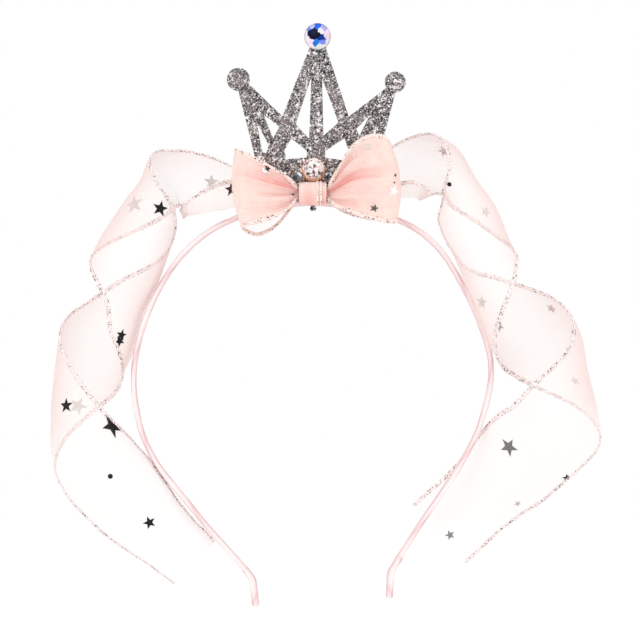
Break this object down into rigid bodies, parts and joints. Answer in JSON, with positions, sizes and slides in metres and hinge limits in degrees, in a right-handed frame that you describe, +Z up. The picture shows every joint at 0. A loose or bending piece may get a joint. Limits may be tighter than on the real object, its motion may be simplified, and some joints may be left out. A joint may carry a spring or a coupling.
{
  "type": "tiara headband with bow and ribbon tails",
  "caption": "Child's dress-up tiara: a wound headband with a pierced glitter crown, cut stones, an organza bow and two curling ribbon tails.",
  "frame": {"origin": "underside of the band at the middle of its top, where it sits on the head", "axes": "+Z up through the crown, front towards -Y, +X to the viewer's right"},
  "size_m": [0.2105, 0.048, 0.2214],
  "materials": {
    "satin": "pale pink satin ribbon, wound in a spiral",
    "glitter": "silver glitter on sheet",
    "iris_stone": "cut stone with a blue iris coating",
    "clear_stone": "foil-backed clear cut stone",
    "gilt": "rose-gold plated, beaded rim",
    "foil": "mirror foil",
    "organza": "sheer pale pink organza with a metallic thread hem",
    "felt": "plain felt"
  },
  "bodies": {
    "root": {"headband": "satin", "end_cap_left": "satin", "end_cap_right": "satin", "crown": "glitter", "pad_left": "glitter", "pad_right": "glitter", "top_stone": "iris_stone", "stone_cup": "gilt", "centre_stone": "clear_stone", "side_stone_left": "foil", "side_stone_right": "foil", "lower_stone": "foil", "knot": "organza", "bow_left": "organza", "bow_right": "organza", "ribbon_left": "organza", "ribbon_right": "organza", "felt_pad": "felt"}
  },
  "joints": []
}
